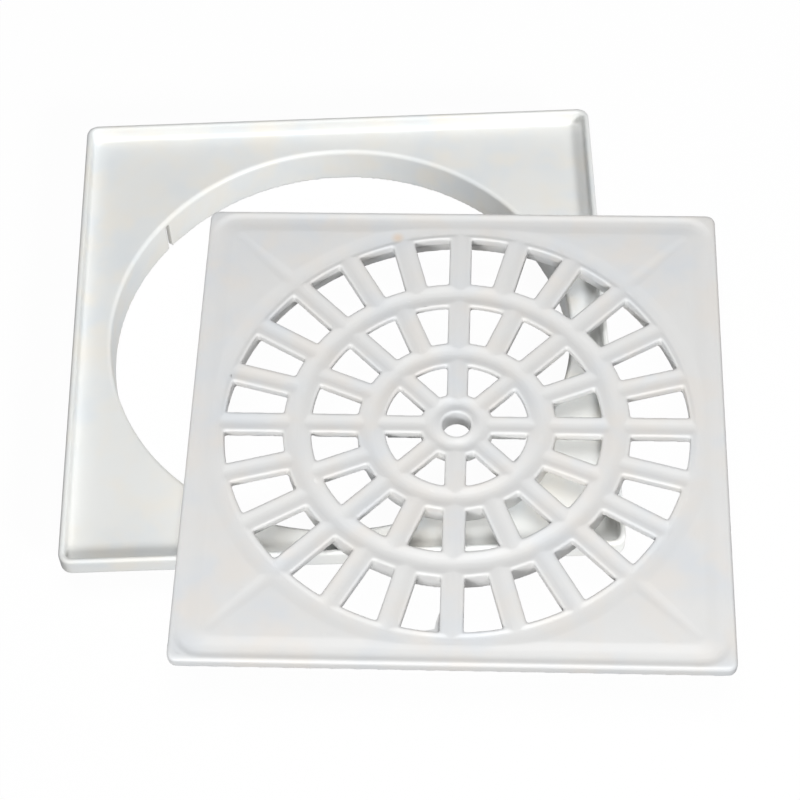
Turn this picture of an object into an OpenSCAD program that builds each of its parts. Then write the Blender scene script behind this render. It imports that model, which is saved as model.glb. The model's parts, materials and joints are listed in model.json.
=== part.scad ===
// Square floor drain: a moulded plastic grate lying on its moulded plastic frame.
// The frame stands on the lower end of its spigot. The grate is lifted out of the frame and
// lies level on the frame's rim, moved towards the viewer's right and turned a few degrees.
// Millimetres, +Z up, origin on the spigot's axis at its lower end.

/* [Grate plate] */
// Side of the square grate
grate_side = 149; // [140:0.5:160]
// Radius of the grate's corners, seen from above
grate_corner_r = 2.6; // [1.5:0.1:5]
// Height of the grate from the underside of its ribs to its flat field
grate_depth = 6.5; // [5.5:0.1:9]
// Thickness of the grate's outer edge
edge_t = 3.5; // [3:0.1:4.5]
// Width of the wall under the grate's outer edge
edge_wall = 2; // [1.5:0.1:4]
// Thickness of the grate's plate and lands
plate_t = 2.7; // [2.2:0.1:3]
// Thickness of the rings between the slots
ring_t = 4.2; // [3.8:0.1:5]

/* [Slots] */
// Number of slots in the outer ring
outer_count = 24; // [16:1:28]
// Number of slots in the middle ring
middle_count = 16; // [10:1:18]
// Number of slots in the inner ring
inner_count = 8; // [5:1:9]
// Radius of the outer end of the outer slots
outer_slot_r2 = 64.7; // [63:0.1:65]
// Radius of the inner end of the outer slots
outer_slot_r1 = 48.4; // [46.5:0.1:52]
// Radius of the outer end of the middle slots
middle_slot_r2 = 40.5; // [36:0.1:42]
// Radius of the inner end of the middle slots
middle_slot_r1 = 27.7; // [26:0.1:30]
// Radius of the outer end of the inner slots
inner_slot_r2 = 20; // [18:0.1:21]
// Radius of the inner end of the inner slots
inner_slot_r1 = 10.2; // [9.5:0.1:12]
// Width of the lands between the outer slots
outer_land_w = 6.4; // [5:0.1:7]
// Width of the lands between the middle slots
middle_land_w = 6.3; // [5:0.1:7]
// Width of the lands between the inner slots
inner_land_w = 5.9; // [5:0.1:6.5]
// Radius of the hole in the middle
hub_hole_r = 3.9; // [2.5:0.1:4.5]

/* [Relief] */
// Height of the lips around the slots above the flat field
lip_h = 0.15; // [0.1:0.05:0.5]
// Radius of the rounded edge on the slot side of each lip
lip_edge_r = 0.5; // [0.3:0.1:0.9]
// Width of the flat top of a lip before it falls to the valley
lip_flat = 0.2; // [0.1:0.05:0.5]
// Depth below the field of the valley outside the outer slots
moat_depth = 0.3; // [0.2:0.05:0.5]
// Width of that valley's steep side, next to the slots
moat_in_w = 1.1; // [0.8:0.1:2.5]
// Width of that valley's gentle side, which rises to the field
moat_out_w = 6; // [3:0.1:6.5]
// Depth below the field of the valleys along the rings
ring_valley_depth = 0.5; // [0.3:0.05:0.7]
// Depth of the valley along the edge
edge_valley_depth = 0.45; // [0.2:0.05:0.6]
// Width of the edge valley's gentle side, towards the slots
edge_valley_in_w = 4.4; // [2:0.1:4.6]
// Width of the edge valley's steep side, which rises to the bead
edge_valley_out_w = 2; // [1.5:0.1:2.5]
// Width of the raised bead outside the edge valley
edge_bead_w = 1; // [0.8:0.1:1.5]
// Radius of the rounding of the grate's upper edge
edge_round = 0.9; // [0.5:0.1:1.2]
// Width of the valley along each corner diagonal
corner_valley_w = 5; // [4:0.1:7]
// Depth of each corner valley where it leaves the valley outside the slots
corner_valley_depth = 0.27; // [0.15:0.01:0.27]
// Depth of each corner valley at its other end
corner_valley_end = 0.08; // [0.05:0.01:0.15]
// Distance from the middle to the end of each corner valley
corner_valley_reach = 92; // [86:0.5:96]

/* [Grate underside] */
// Width of the ribs under the lands
rib_w = 2; // [1.5:0.1:2.4]
// Height of the land ribs' lower edges above those of the rings and the skirt
rib_lift = 0.2; // [0.1:0.1:1]
// Width of the ribs under the rings
ring_rib_w = 3; // [2:0.1:4]
// Distance that the skirt stands back from the slots' outer ends
skirt_back = 0.7; // [0.5:0.1:0.9]
// Wall of the skirt that drops into the frame's opening
skirt_wall = 1.3; // [1:0.1:1.4]
// Wall of the boss around the hole in the middle
hub_wall = 2.6; // [2:0.1:3.2]

/* [Frame] */
// Gap on each side between the grate and the floor of the recess
seat_gap = 0.3; // [0.2:0.05:0.6]
// Depth of the recess that takes the grate
recess_depth = 4.5; // [3.5:0.1:5.5]
// Amount that each recess wall lies back from foot to top, with its roundings
recess_draft = 1.6; // [1.4:0.1:2]
// Width of the frame's rim outside the recess
rim_top_w = 1.1; // [1:0.1:2]
// Radius of the fillet at the foot of the recess walls
recess_foot_r = 0.8; // [0.4:0.1:0.8]
// Rounding of the edges of the frame's rim
rim_round = 0.6; // [0.4:0.1:0.6]
// Thickness of the frame's plate
frame_plate_t = 2; // [1.4:0.1:2.5]
// Radius of the frame's corners, seen from above
frame_corner_r = 3.4; // [3:0.1:6]
// Radius of the round opening
opening_r = 67.1; // [66.9:0.1:69]
// Rounding of the opening's upper edge
opening_edge_r = 1; // [0.5:0.1:1.4]
// Wall of the spigot
spigot_wall = 1.9; // [1.5:0.1:2.5]
// Length of the spigot below the frame's plate
spigot_len = 10.6; // [8:0.2:40]
// Width of the slit in the spigot
slit_w = 1.2; // [0.8:0.1:3]
// Direction of the slit, in degrees from the right-hand side
slit_angle = 141; // [100:1:170]

/* [Placing] */
// Distance of the grate's middle to the right of the frame's middle
grate_shift_x = 32.6; // [25:0.1:35]
// Distance of the grate's middle towards the viewer from the frame's middle
grate_shift_y = 41.2; // [34:0.1:44]
// Turn of the grate on the frame, in degrees clockwise from above
grate_turn = 3.3; // [0:0.1:8]

/* [Hidden] */
$fn = 96;
corner_steps = 6;
margin = 1;
bury = 0.3;
level_step = 0.05;
valley_foot = 0.4;
valley_shoulder = 0.8;
edge_valley_r = 6;
recess_corner_r = 1.2;
arc_angles = [0:30:90];

recess_side = grate_side + 2 * seat_gap;
frame_side = recess_side + 2 * (recess_draft + rim_top_w);
frame_plate_z = spigot_len;
recess_z = frame_plate_z + frame_plate_t;
rim_z = recess_z + recess_depth;

crest_z = grate_depth + lip_h;
land_crest_z = crest_z - level_step;
land_valley_depth = lip_h + moat_depth - 2 * level_step;
land_under_z = grate_depth - plate_t;
skirt_lip_under_z = land_under_z - 2 * level_step;
ring_under_z = grate_depth - ring_t;
edge_under_z = grate_depth - edge_t;
hub_r = hub_hole_r + hub_wall;
skirt_in_r = outer_slot_r2 + skirt_back;
skirt_r = skirt_in_r + skirt_wall;
moat_r = outer_slot_r2 + lip_edge_r + lip_flat + moat_in_w;
thick_r = outer_slot_r2 + moat_out_w * 2 / 3;
hub_valley_r = (hub_hole_r + inner_slot_r1) / 2;
inner_ring_r = (inner_slot_r2 + middle_slot_r1) / 2;
outer_ring_r = (middle_slot_r2 + outer_slot_r1) / 2;
edge_valley_at = grate_side / 2 - edge_bead_w - edge_valley_out_w;

// Corner points of a square with rounded corners, centred on the axis
function rounded_square(side, r) = [
    for (corner = [0:3], step = [0:corner_steps])
        let (a = 90 * corner + 90 * step / corner_steps, c = side / 2 - r)
        [c * (corner == 0 || corner == 3 ? 1 : -1) + r * cos(a),
         c * (corner < 2 ? 1 : -1) + r * sin(a)]
];

// Solid through a stack of rounded squares, each given as [z, side, corner radius]
module loft(sections) {
    n = 4 * (corner_steps + 1);
    last = len(sections) - 1;
    points = [for (s = sections, p = rounded_square(s[1], s[2])) [p[0], p[1], s[0]]];
    faces = [for (k = [0:last - 1], i = [0:n - 1])
        let (a = k * n + i, b = k * n + (i + 1) % n)
        each [[a, a + n, b + n], [a, b + n, b]]];
    bottom = [for (i = [0:n - 1]) i];
    top = [for (i = [n - 1:-1:0]) last * n + i];
    polyhedron(points = points, faces = concat(faces, [bottom, top]), convexity = 4);
}

// Sections of a loft that rounds the upper edge of a square, ending at the level z
function rounded_top(side, corner_r, z, r) = [
    for (a = arc_angles) let (in = r * (1 - cos(a))) [z - r * (1 - sin(a)), side - 2 * in, corner_r - in]
];

// Cross-section of a valley with its two sides' widths at the level z; the sides run on above it
function valley(left, right, depth, z) =
    let (rise = valley_shoulder * depth, run = margin * (1 - valley_foot) / rise)
    [[-left * (1 + run), z + margin], [-left * valley_foot, z - rise], [0, z - depth],
     [right * valley_foot, z - rise], [right * (1 + run), z + margin]];

// Rounded edge that turns from the wall at x, facing the given side, to a crest at z
function lip(x, side, z) = [for (a = side > 0 ? [0:30:90] : [90:30:180])
    [x - side * lip_edge_r + lip_edge_r * cos(a), z - lip_edge_r * (1 - sin(a))]];

// Cross-section of a land or ring with crests at z, its underside at under and a rib down to foot
function band(width, z, under, rib, foot) = concat(lip(width / 2, 1, z), lip(-width / 2, -1, z), [
    [-width / 2, under], [-rib / 2, under], [-rib / 2, foot],
    [rib / 2, foot], [rib / 2, under], [width / 2, under]
]);

// Cross-section of the valley that leaves a lip on each side of a band
function band_valley(width, depth, z) =
    let (half = width / 2 - lip_edge_r - lip_flat) valley(half, half, depth, z);

module along_radius(r1, r2, a) {
    rotate([0, 0, a]) translate([r1, 0, 0]) rotate([90, 0, 90])
        linear_extrude(r2 - r1) children();
}

// Lands of one ring of slots
module lands(count, width, r1, r2) {
    for (i = [0:count - 1])
        along_radius(r1, r2, i * 360 / count) polygon(band(width, land_crest_z, land_under_z, rib_w, rib_lift));
}

// Valleys along the lands of one ring of slots
module land_valleys(count, width, r1, r2) {
    for (i = [0:count - 1])
        along_radius(r1, r2, i * 360 / count)
            polygon(band_valley(width, land_valley_depth, land_crest_z));
}

module ring(r1, r2) {
    rotate_extrude() translate([(r1 + r2) / 2, 0])
        polygon(band(r2 - r1, crest_z, ring_under_z, ring_rib_w, 0));
}

module ring_valley(r1, r2) {
    rotate_extrude() translate([(r1 + r2) / 2, 0])
        polygon(band_valley(r2 - r1, lip_h + ring_valley_depth, crest_z));
}

// Valley outside the outer slots
module moat() {
    rotate_extrude() translate([moat_r, 0])
        polygon(valley(moat_in_w, moat_out_w, lip_h + moat_depth, crest_z));
}

// Boss around the hole, with a rounded mouth
module hub() {
    rotate_extrude() polygon(concat(
        [[hub_hole_r, 0], [hub_r, 0], [hub_r, ring_under_z], [inner_slot_r1, ring_under_z]],
        lip(inner_slot_r1, 1, crest_z),
        lip(hub_hole_r, -1, crest_z)
    ));
}

// Skirt set back below the slots' outer ends, with their common lip above
module skirt() {
    middle_z = (edge_under_z + grate_depth) / 2;
    out_r = moat_r + margin;
    rotate_extrude() polygon(concat(
        [[skirt_in_r, 0], [skirt_r, 0], [skirt_r, middle_z], [out_r, middle_z], [out_r, crest_z]],
        lip(outer_slot_r2, -1, crest_z),
        [[outer_slot_r2, skirt_lip_under_z], [skirt_in_r, skirt_lip_under_z]]
    ));
}

// Square plate around the slots, with its edge wall
module square_plate() {
    difference() {
        loft(concat([[edge_under_z, grate_side, grate_corner_r]],
            rounded_top(grate_side, grate_corner_r, grate_depth, edge_round)));
        translate([0, 0, edge_under_z - margin])
            cylinder(h = edge_t + 2 * margin, r = (skirt_in_r + skirt_r) / 2);
        difference() {
            loft([
                [edge_under_z - margin, grate_side - 2 * edge_wall, 1],
                [land_under_z, grate_side - 2 * edge_wall, 1]
            ]);
            translate([0, 0, edge_under_z - 2 * margin])
                cylinder(h = edge_t + 2 * margin, r = thick_r);
        }
    }
}

// Valley that runs along the plate's edge: a valley's cross-section carried round a square
module edge_valley() {
    section = valley(edge_valley_in_w, edge_valley_out_w, edge_valley_depth, grate_depth);
    n = 4 * (corner_steps + 1);
    m = len(section);
    points = [for (s = section, p = rounded_square(2 * (edge_valley_at + s[0]), max(bury, edge_valley_r + s[0])))
        [p[0], p[1], s[1]]];
    faces = [for (k = [0:m - 1], i = [0:n - 1])
        let (a = k * n + i, b = k * n + (i + 1) % n, c = (k + 1) % m * n)
        each [[a, c + (i + 1) % n, b], [a, c + i, c + (i + 1) % n]]];
    polyhedron(points = points, faces = faces, convexity = 4);
}

// Valleys along the corner diagonals, deepest at the slots and fading towards the corners
module corner_valleys() {
    half = corner_valley_w / 2;
    length = corner_valley_reach - moat_r;
    slope = atan((corner_valley_depth - corner_valley_end) / length);
    for (corner = [0:3]) rotate([0, 0, 45 + 90 * corner]) translate([moat_r, 0, grate_depth])
        rotate([0, -slope, 0]) rotate([90, 0, 90])
            linear_extrude(length) polygon(valley(half, half, corner_valley_depth, 0));
}

module grate_body() {
    difference() {
        union() {
            square_plate();
            skirt();
            ring(middle_slot_r2, outer_slot_r1);
            ring(inner_slot_r2, middle_slot_r1);
            hub();
            lands(outer_count, outer_land_w, outer_ring_r, skirt_r - bury);
            lands(middle_count, middle_land_w, inner_ring_r, outer_ring_r);
            lands(inner_count, inner_land_w, hub_r - 3 * bury, inner_ring_r);
        }
        moat();
        ring_valley(middle_slot_r2, outer_slot_r1);
        ring_valley(inner_slot_r2, middle_slot_r1);
        ring_valley(hub_hole_r, inner_slot_r1);
        land_valleys(outer_count, outer_land_w, outer_ring_r, moat_r);
        land_valleys(middle_count, middle_land_w, inner_ring_r, outer_ring_r);
        land_valleys(inner_count, inner_land_w, hub_valley_r, inner_ring_r);
        edge_valley();
        corner_valleys();
    }
}

module grate() {
    color("whitesmoke") translate([grate_shift_x, -grate_shift_y, rim_z])
        rotate([0, 0, -grate_turn]) grate_body();
}

// Square tray of the frame, with rounded outer edges
module tray() {
    difference() {
        loft(concat([
            [frame_plate_z, frame_side - 2 * rim_round, frame_corner_r - rim_round],
            [frame_plate_z + rim_round, frame_side, frame_corner_r]
        ], rounded_top(frame_side, frame_corner_r, rim_z, rim_round)));
        recess();
        translate([0, 0, frame_plate_z - margin]) cylinder(h = frame_plate_t + 2 * margin, r = opening_r);
        opening_edge();
    }
}

// Recess with a rounded foot, leaning walls and a rounded upper edge
module recess() {
    top_side = recess_side + 2 * recess_draft;
    top_r = recess_corner_r + recess_draft;
    loft(concat(
        [for (a = arc_angles) [recess_z + recess_foot_r * (1 - cos(a)),
            recess_side + 2 * recess_foot_r * sin(a), recess_corner_r + recess_foot_r * sin(a)]],
        [for (a = arc_angles) let (in = rim_round * cos(a)) [rim_z - rim_round * (1 - sin(a)),
            top_side - 2 * in, top_r - in]],
        [[rim_z + margin, top_side, top_r]]
    ));
}

// Cutter that rounds the opening's upper edge
module opening_edge() {
    rotate_extrude() polygon(concat(
        [[opening_r - margin, recess_z - opening_edge_r], [opening_r, recess_z - opening_edge_r]],
        [for (a = [180:-30:90])
            [opening_r + opening_edge_r * (1 + cos(a)), recess_z - opening_edge_r * (1 - sin(a))]],
        [[opening_r + opening_edge_r, recess_z + margin], [opening_r - margin, recess_z + margin]]
    ));
}

// Spigot that enters the drain pipe, slit on one side
module spigot() {
    difference() {
        cylinder(h = spigot_len + frame_plate_t / 2, r = opening_r + spigot_wall);
        translate([0, 0, -margin]) cylinder(h = spigot_len + frame_plate_t + 2 * margin, r = opening_r);
        rotate([0, 0, slit_angle]) translate([opening_r - margin, -slit_w / 2, -margin])
            cube([spigot_wall + 2 * margin, slit_w, spigot_len + margin]);
    }
}

module frame() {
    color("white") union() {
        tray();
        spigot();
    }
}

frame();
grate();
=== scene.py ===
"""White moulded floor drain: a slotted grate lying on its square frame, from the front and above."""

import json
import math

import bpy
from mathutils import Matrix, Vector

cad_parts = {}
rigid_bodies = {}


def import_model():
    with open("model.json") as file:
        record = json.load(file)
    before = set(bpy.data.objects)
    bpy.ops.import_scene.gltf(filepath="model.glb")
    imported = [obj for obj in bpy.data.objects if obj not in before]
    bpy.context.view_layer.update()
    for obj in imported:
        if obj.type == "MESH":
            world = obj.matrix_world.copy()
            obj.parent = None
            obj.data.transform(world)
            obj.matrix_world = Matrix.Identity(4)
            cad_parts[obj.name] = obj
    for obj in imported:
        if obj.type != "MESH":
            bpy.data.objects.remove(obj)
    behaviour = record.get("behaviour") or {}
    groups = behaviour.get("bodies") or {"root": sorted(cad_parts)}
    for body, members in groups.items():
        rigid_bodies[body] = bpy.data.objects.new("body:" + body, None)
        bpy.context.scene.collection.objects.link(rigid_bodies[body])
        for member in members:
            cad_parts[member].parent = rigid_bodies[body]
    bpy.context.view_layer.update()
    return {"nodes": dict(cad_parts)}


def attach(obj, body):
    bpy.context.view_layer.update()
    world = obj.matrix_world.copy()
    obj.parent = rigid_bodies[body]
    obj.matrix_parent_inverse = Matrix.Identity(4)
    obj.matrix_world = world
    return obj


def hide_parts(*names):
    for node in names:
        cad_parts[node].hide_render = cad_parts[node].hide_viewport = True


MM = 0.001

# Camera, as the photograph was taken: a short telephoto lens, from the front and above
LENS_MM = 101.6
SENSOR_MM = 36.0
CAMERA_HEADING = math.radians(-1.2)
CAMERA_HEIGHT_ANGLE = math.radians(56.55)
CAMERA_ROLL = math.radians(-3.0)
CAMERA_DISTANCE = 0.64
RIM_HEIGHT = 0.0171
CAMERA_TARGET = Vector((0.0170, -0.0282, RIM_HEIGHT))

# Studio: the paper's colours for the light it returns and for the camera, and how much of its
# shadow is hidden
PAPER_BOUNCE = "5A5A5A"
PAPER_SEEN = "FFFFFF"
SHADOW_HIDDEN = 0.97
PAPER_SIDE = 6.0
ROOM_FILL = 0.06
LAMP_DISTANCE = 1.2

# Smallest detail that the mould holds, and how far its edges are eased
GRATE_GRAIN = 0.36 * MM
FRAME_GRAIN = 0.42 * MM
GRATE_EASING = 5
FRAME_EASING = 4
EASING_STRENGTH = 0.5
MOST_TRIANGLES = 190000

# Moulded skin: sizes of its clouds, waves and satin grain, and the depths of the last two
COOL_CLOUD = 19 * MM
WARM_CLOUD = 13 * MM
CLOUD_STARTS = 0.42
CLOUD_FULL = 0.72
WAVE = 14 * MM
WAVE_DEPTH = 0.12 * MM
SATIN_GRAIN = 0.5 * MM
SATIN_DEPTH = 0.004 * MM
PVC_IOR = 1.53

# The grate's axis and the heights of its underside and of its crests
GRATE_AXIS = Vector((32.6, -41.2, 0)) * MM
GRATE_TURN = math.radians(-3.3)
GRATE_FOOT = 17.1 * MM
GRATE_CREST = 23.6 * MM

# Underside of the two rings of the grate: a thin inner edge, and a rib under the outer edge
RING_EDGES = ((20.0 * MM, 27.7 * MM), (40.5 * MM, 48.4 * MM))
RING_LIP = 1.9 * MM
RING_RIB = 2.3 * MM
CUT_BEYOND = 0.5 * MM
TUBE_SIDES = 192

# Flash left in one slot beside the land nearest to the viewer: corners in mm from the grate's axis
FLASH_OUTLINE = (
    (-3.0, -57.2),
    (-4.1, -60.5),
    (-4.5, -62.9),
    (-7.6, -63.6),
    (-10.9, -64.3),
    (-3.0, -65.2),
)
FLASH_HEIGHT = 21.6 * MM
FLASH_THICKNESS = 0.25 * MM

# Brownish stain at the lip of a far slot, in mm from the grate's axis
STAIN_AT = (-18.6, 65.0)
STAIN_RADIUS = 2.6 * MM
STAIN = "EADACA"


def linear(code):
    """An sRGB hex colour as linear red, green, blue and alpha."""
    channels = [int(code[i : i + 2], 16) / 255 for i in (0, 2, 4)]
    return [c / 12.92 if c <= 0.04045 else ((c + 0.055) / 1.055) ** 2.4 for c in channels] + [1.0]


def add_node(tree, kind, settings=None, values=None):
    """Adds one node, sets its settings, and gives each named input a value or a link."""
    node = tree.nodes.new(kind)
    for name, setting in (settings or {}).items():
        setattr(node, name, setting)
    for name, value in (values or {}).items():
        if isinstance(value, bpy.types.NodeSocket):
            tree.links.new(value, node.inputs[name])
        else:
            node.inputs[name].default_value = value
    return node


def only(piece):
    """Selects this piece alone and makes it the active one."""
    bpy.ops.object.select_all(action="DESELECT")
    piece.select_set(True)
    bpy.context.view_layer.objects.active = piece


def finish_with(piece, kind, **settings):
    """Adds a modifier to the piece and applies it."""
    modifier = piece.modifiers.new(kind.title(), kind)
    for name, value in settings.items():
        setattr(modifier, name, value)
    only(piece)
    bpy.ops.object.modifier_apply(modifier=modifier.name)


def tube(inner, outer, low, high):
    """A short tube on the grate's axis."""
    bpy.ops.object.select_all(action="DESELECT")
    bpy.ops.mesh.primitive_cylinder_add(
        vertices=TUBE_SIDES,
        radius=outer,
        depth=high - low,
        end_fill_type="NOTHING",
        location=GRATE_AXIS + Vector((0, 0, (low + high) / 2)),
    )
    ring = bpy.context.view_layer.objects.active
    finish_with(ring, "SOLIDIFY", thickness=outer - inner, offset=-1.0)
    return ring


def copy_of(node, name):
    """A welded copy of a CAD solid."""
    only(frame["nodes"][node])
    bpy.ops.object.duplicate()
    piece = bpy.context.view_layer.objects.active
    bpy.ops.object.parent_clear(type="CLEAR_KEEP_TRANSFORM")
    piece.name = name
    piece.data.name = name
    bpy.ops.object.mode_set(mode="EDIT")
    bpy.ops.mesh.select_all(action="SELECT")
    bpy.ops.mesh.remove_doubles(threshold=0.001 * MM)
    bpy.ops.object.mode_set(mode="OBJECT")
    return piece


def thin_ring_edges(piece):
    """Thins each ring's inner edge, and carries the ring on a rib under its outer edge."""
    for inner, outer in RING_EDGES:
        under_lip = GRATE_CREST - RING_LIP
        cutter = tube(inner - CUT_BEYOND, outer - RING_RIB, GRATE_FOOT - CUT_BEYOND, under_lip)
        finish_with(piece, "BOOLEAN", operation="DIFFERENCE", solver="EXACT", object=cutter)
        only(cutter)
        bpy.ops.object.delete()
        rib = tube(outer - RING_RIB, outer, GRATE_FOOT, under_lip)
        only(piece)
        rib.select_set(True)
        bpy.ops.object.join()


def moulding(piece, node, grain, easing):
    """Gives the copy the eased edges of an injection moulding, and puts it in the CAD solid's place."""
    finish_with(piece, "REMESH", mode="VOXEL", voxel_size=grain, use_smooth_shade=True)
    finish_with(piece, "SMOOTH", factor=EASING_STRENGTH, iterations=easing)
    triangles = 2 * len(piece.data.polygons)
    if triangles > MOST_TRIANGLES:
        finish_with(piece, "DECIMATE", ratio=MOST_TRIANGLES / triangles)
    only(piece)
    bpy.ops.object.shade_smooth()
    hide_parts(node)
    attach(piece, "root")
    return piece


def on_grate(x, y, height):
    """A point given in mm from the grate's axis, along its own sides."""
    turned = Matrix.Rotation(GRATE_TURN, 3, "Z") @ Vector((x * MM, y * MM, 0))
    return GRATE_AXIS + turned + Vector((0, 0, height))


def add_flash(piece):
    """A thin film of flash that the mould left in one slot."""
    film = bpy.data.meshes.new("flash")
    corners = [on_grate(x, y, FLASH_HEIGHT) for x, y in FLASH_OUTLINE]
    film.from_pydata(corners, [], [list(range(len(corners)))])
    flash = bpy.data.objects.new("flash", film)
    bpy.context.scene.collection.objects.link(flash)
    finish_with(flash, "SOLIDIFY", thickness=FLASH_THICKNESS)
    only(piece)
    flash.select_set(True)
    bpy.ops.object.join()


def blended(tree, share, colour, tint):
    """The colour, with this share of the tint."""
    mixed = add_node(tree, "ShaderNodeMix", {"data_type": "RGBA"}, {0: share, 6: colour, 7: tint})
    return mixed.outputs[2]


def noise(tree, place, size):
    """Soft noise with patches of about this size."""
    patches = {"Vector": place, "Scale": 1 / size, "Detail": 2.0}
    return add_node(tree, "ShaderNodeTexNoise", {}, patches).outputs["Fac"]


def clouded(tree, place, colour, tint, size):
    """The colour with soft clouds of a tint."""
    patch = add_node(
        tree,
        "ShaderNodeMapRange",
        {"interpolation_type": "SMOOTHSTEP"},
        {"Value": noise(tree, place, size), "From Min": CLOUD_STARTS, "From Max": CLOUD_FULL},
    )
    return blended(tree, patch.outputs["Result"], colour, tint)


def stained(tree, place, colour):
    """The colour with a small soft stain at one lip of the grate."""
    middle = on_grate(*STAIN_AT, GRATE_CREST)
    away = add_node(tree, "ShaderNodeVectorMath", {"operation": "DISTANCE"}, {0: place, 1: middle})
    near = add_node(
        tree,
        "ShaderNodeMapRange",
        {"interpolation_type": "SMOOTHSTEP"},
        {"Value": away.outputs["Value"], "From Min": STAIN_RADIUS, "From Max": 0.0},
    )
    return blended(tree, near.outputs["Result"], colour, linear(STAIN))


def white_plastic(name, light, cool, warm, roughness, soiled):
    """Moulded white PVC.

    To the eye it is a soft satin white, faintly clouded where the melt cooled unevenly, and a little
    wavy where it shrank. The satin grain is drawn coarser than the real one, which wouldn't show.
    """
    material = bpy.data.materials.new(name)
    material.use_nodes = True
    tree = material.node_tree
    tree.nodes.clear()
    place = add_node(tree, "ShaderNodeTexCoord").outputs["Object"]
    colour = clouded(tree, place, linear(light), linear(cool), COOL_CLOUD)
    colour = clouded(tree, place, colour, linear(warm), WARM_CLOUD)
    if soiled:
        colour = stained(tree, place, colour)
    waves = noise(tree, place, WAVE)
    wavy = add_node(tree, "ShaderNodeBump", {}, {"Height": waves, "Distance": WAVE_DEPTH, "Strength": 1.0})
    specks = noise(tree, place, SATIN_GRAIN)
    satin = add_node(
        tree,
        "ShaderNodeBump",
        {},
        {"Height": specks, "Distance": SATIN_DEPTH, "Strength": 1.0, "Normal": wavy.outputs["Normal"]},
    )
    plastic = add_node(
        tree,
        "ShaderNodeBsdfPrincipled",
        {},
        {"Base Color": colour, "Roughness": roughness, "IOR": PVC_IOR, "Normal": satin.outputs["Normal"]},
    )
    add_node(tree, "ShaderNodeOutputMaterial", {}, {"Surface": plastic.outputs["BSDF"]})
    return material


def dress(piece, material):
    piece.data.materials.clear()
    piece.data.materials.append(material)


def seen_directly(tree):
    """1 for rays from the camera and for reflections, 0 for the light that surfaces share."""
    path = add_node(tree, "ShaderNodeLightPath").outputs
    seen = path["Is Camera Ray"]
    for ray in ("Is Glossy Ray", "Is Transmission Ray"):
        either = add_node(tree, "ShaderNodeMath", {"operation": "MAXIMUM"}, {0: seen, 1: path[ray]})
        seen = either.outputs[0]
    return seen


def white_floor():
    """White paper floor: white to the camera, with a faint shadow, and darker for the light it returns."""
    bpy.ops.object.select_all(action="DESELECT")
    bpy.ops.mesh.primitive_plane_add(size=PAPER_SIDE, location=(0, 0, 0))
    floor = bpy.context.view_layer.objects.active
    floor.name = "paper_floor"
    material = bpy.data.materials.new("white_paper")
    material.use_nodes = True
    tree = material.node_tree
    tree.nodes.clear()
    bounce, sheet = [
        add_node(tree, "ShaderNodeBsdfDiffuse", {}, {"Color": linear(colour)}).outputs["BSDF"]
        for colour in (PAPER_BOUNCE, PAPER_SEEN)
    ]
    white = add_node(tree, "ShaderNodeEmission", {}, {"Strength": 1.0}).outputs["Emission"]
    faint = add_node(tree, "ShaderNodeMixShader", {}, {0: SHADOW_HIDDEN, 1: sheet, 2: white})
    faint = faint.outputs["Shader"]
    skin = add_node(tree, "ShaderNodeMixShader", {}, {0: seen_directly(tree), 1: bounce, 2: faint})
    add_node(tree, "ShaderNodeOutputMaterial", {}, {"Surface": skin.outputs["Shader"]})
    floor.data.materials.append(material)
    return floor


def group(name, pieces):
    collection = bpy.data.collections.new(name)
    for piece in pieces:
        collection.objects.link(piece)
    return collection


def soft_light(name, heading, height_angle, size, watts, lit, casts):
    """A square studio lamp that lights some pieces and is shaded by some.

    Angles are in degrees. Heading 0 is the viewer's side and 90 the right.
    """
    bpy.ops.object.light_add(type="AREA")
    lamp = bpy.context.view_layer.objects.active
    lamp.name = name
    lamp.data.shape = "SQUARE"
    lamp.data.size = size
    lamp.data.energy = watts
    a = math.radians(heading)
    e = math.radians(height_angle)
    away = Vector((math.sin(a) * math.cos(e), -math.cos(a) * math.cos(e), math.sin(e)))
    lamp.location = CAMERA_TARGET + LAMP_DISTANCE * away
    lamp.rotation_euler = away.to_track_quat("Z", "Y").to_euler()
    lamp.light_linking.receiver_collection = group(name + "_lights", lit)
    lamp.light_linking.blocker_collection = group(name + "_shadows", casts)


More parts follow.
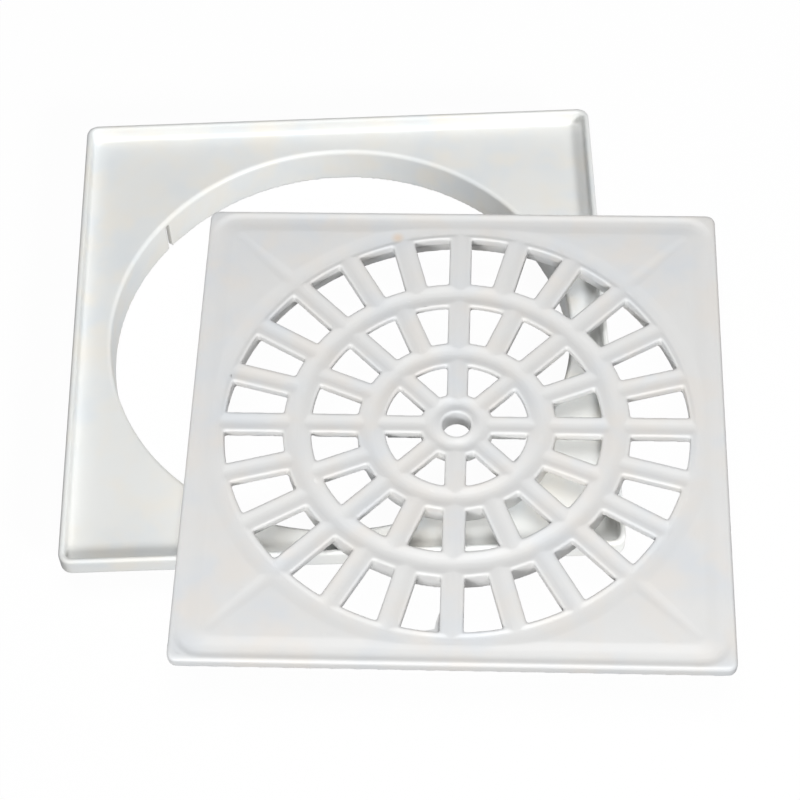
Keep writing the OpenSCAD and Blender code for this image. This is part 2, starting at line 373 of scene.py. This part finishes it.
def white_room(fill):
    """The world: white to the camera, and a low even fill to everything else."""
    world = bpy.data.worlds.new("white_room")
    bpy.context.scene.world = world
    world.use_nodes = True
    tree = world.node_tree
    tree.nodes.clear()
    strength = add_node(
        tree, "ShaderNodeMapRange", {}, {"Value": seen_directly(tree), "To Min": fill, "To Max": 1.0}
    )
    light = add_node(
        tree, "ShaderNodeBackground", {}, {"Color": (1, 1, 1, 1), "Strength": strength.outputs["Result"]}
    )
    add_node(tree, "ShaderNodeOutputWorld", {}, {"Surface": light.outputs["Background"]})


def set_camera():
    lens = bpy.data.cameras.new("camera")
    lens.lens = LENS_MM
    lens.sensor_width = SENSOR_MM
    camera = bpy.data.objects.new("camera", lens)
    bpy.context.scene.collection.objects.link(camera)
    turn = Matrix.Rotation(-CAMERA_HEADING, 4, "Z")
    turn = turn @ Matrix.Rotation(math.pi / 2 - CAMERA_HEIGHT_ANGLE, 4, "X")
    turn = turn @ Matrix.Rotation(CAMERA_ROLL, 4, "Z")
    back = turn.to_3x3() @ Vector((0, 0, 1))
    camera.matrix_world = Matrix.Translation(CAMERA_TARGET + CAMERA_DISTANCE * back) @ turn
    bpy.context.scene.camera = camera


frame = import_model()

holder = moulding(copy_of("frame", "drain_frame"), "frame", FRAME_GRAIN, FRAME_EASING)
frame_pvc = white_plastic("frame_white_pvc", "E7E8E6", "E0E4E6", "E9E7E1", 0.42, soiled=False)
dress(holder, frame_pvc)
grating = copy_of("grate", "drain_grate")
thin_ring_edges(grating)
grating = moulding(grating, "grate", GRATE_GRAIN, GRATE_EASING)
add_flash(grating)
grate_pvc = white_plastic("grate_white_pvc", "EBEBEA", "E5E8EB", "EDEAE6", 0.4, soiled=True)
dress(grating, grate_pvc)

# The two pieces look photographed apart, so each has lamps of its own. The low ones catch its edges
paper = white_floor()
white_room(ROOM_FILL)
soft_light("frame_key", 36, 30, 0.25, 12, [holder, paper], [holder, paper])
soft_light("frame_high", 0, 88, 0.6, 6.4, [holder, paper], [holder, grating])
soft_light("frame_low", 5, 12, 0.35, 3, [holder], [holder])
soft_light("grate_high", 40, 72, 0.7, 10.2, [grating], [grating])
soft_light("grate_low", -20, 19, 0.3, 7.8, [grating], [grating])
set_camera()

bpy.context.scene.view_settings.view_transform = "Standard"
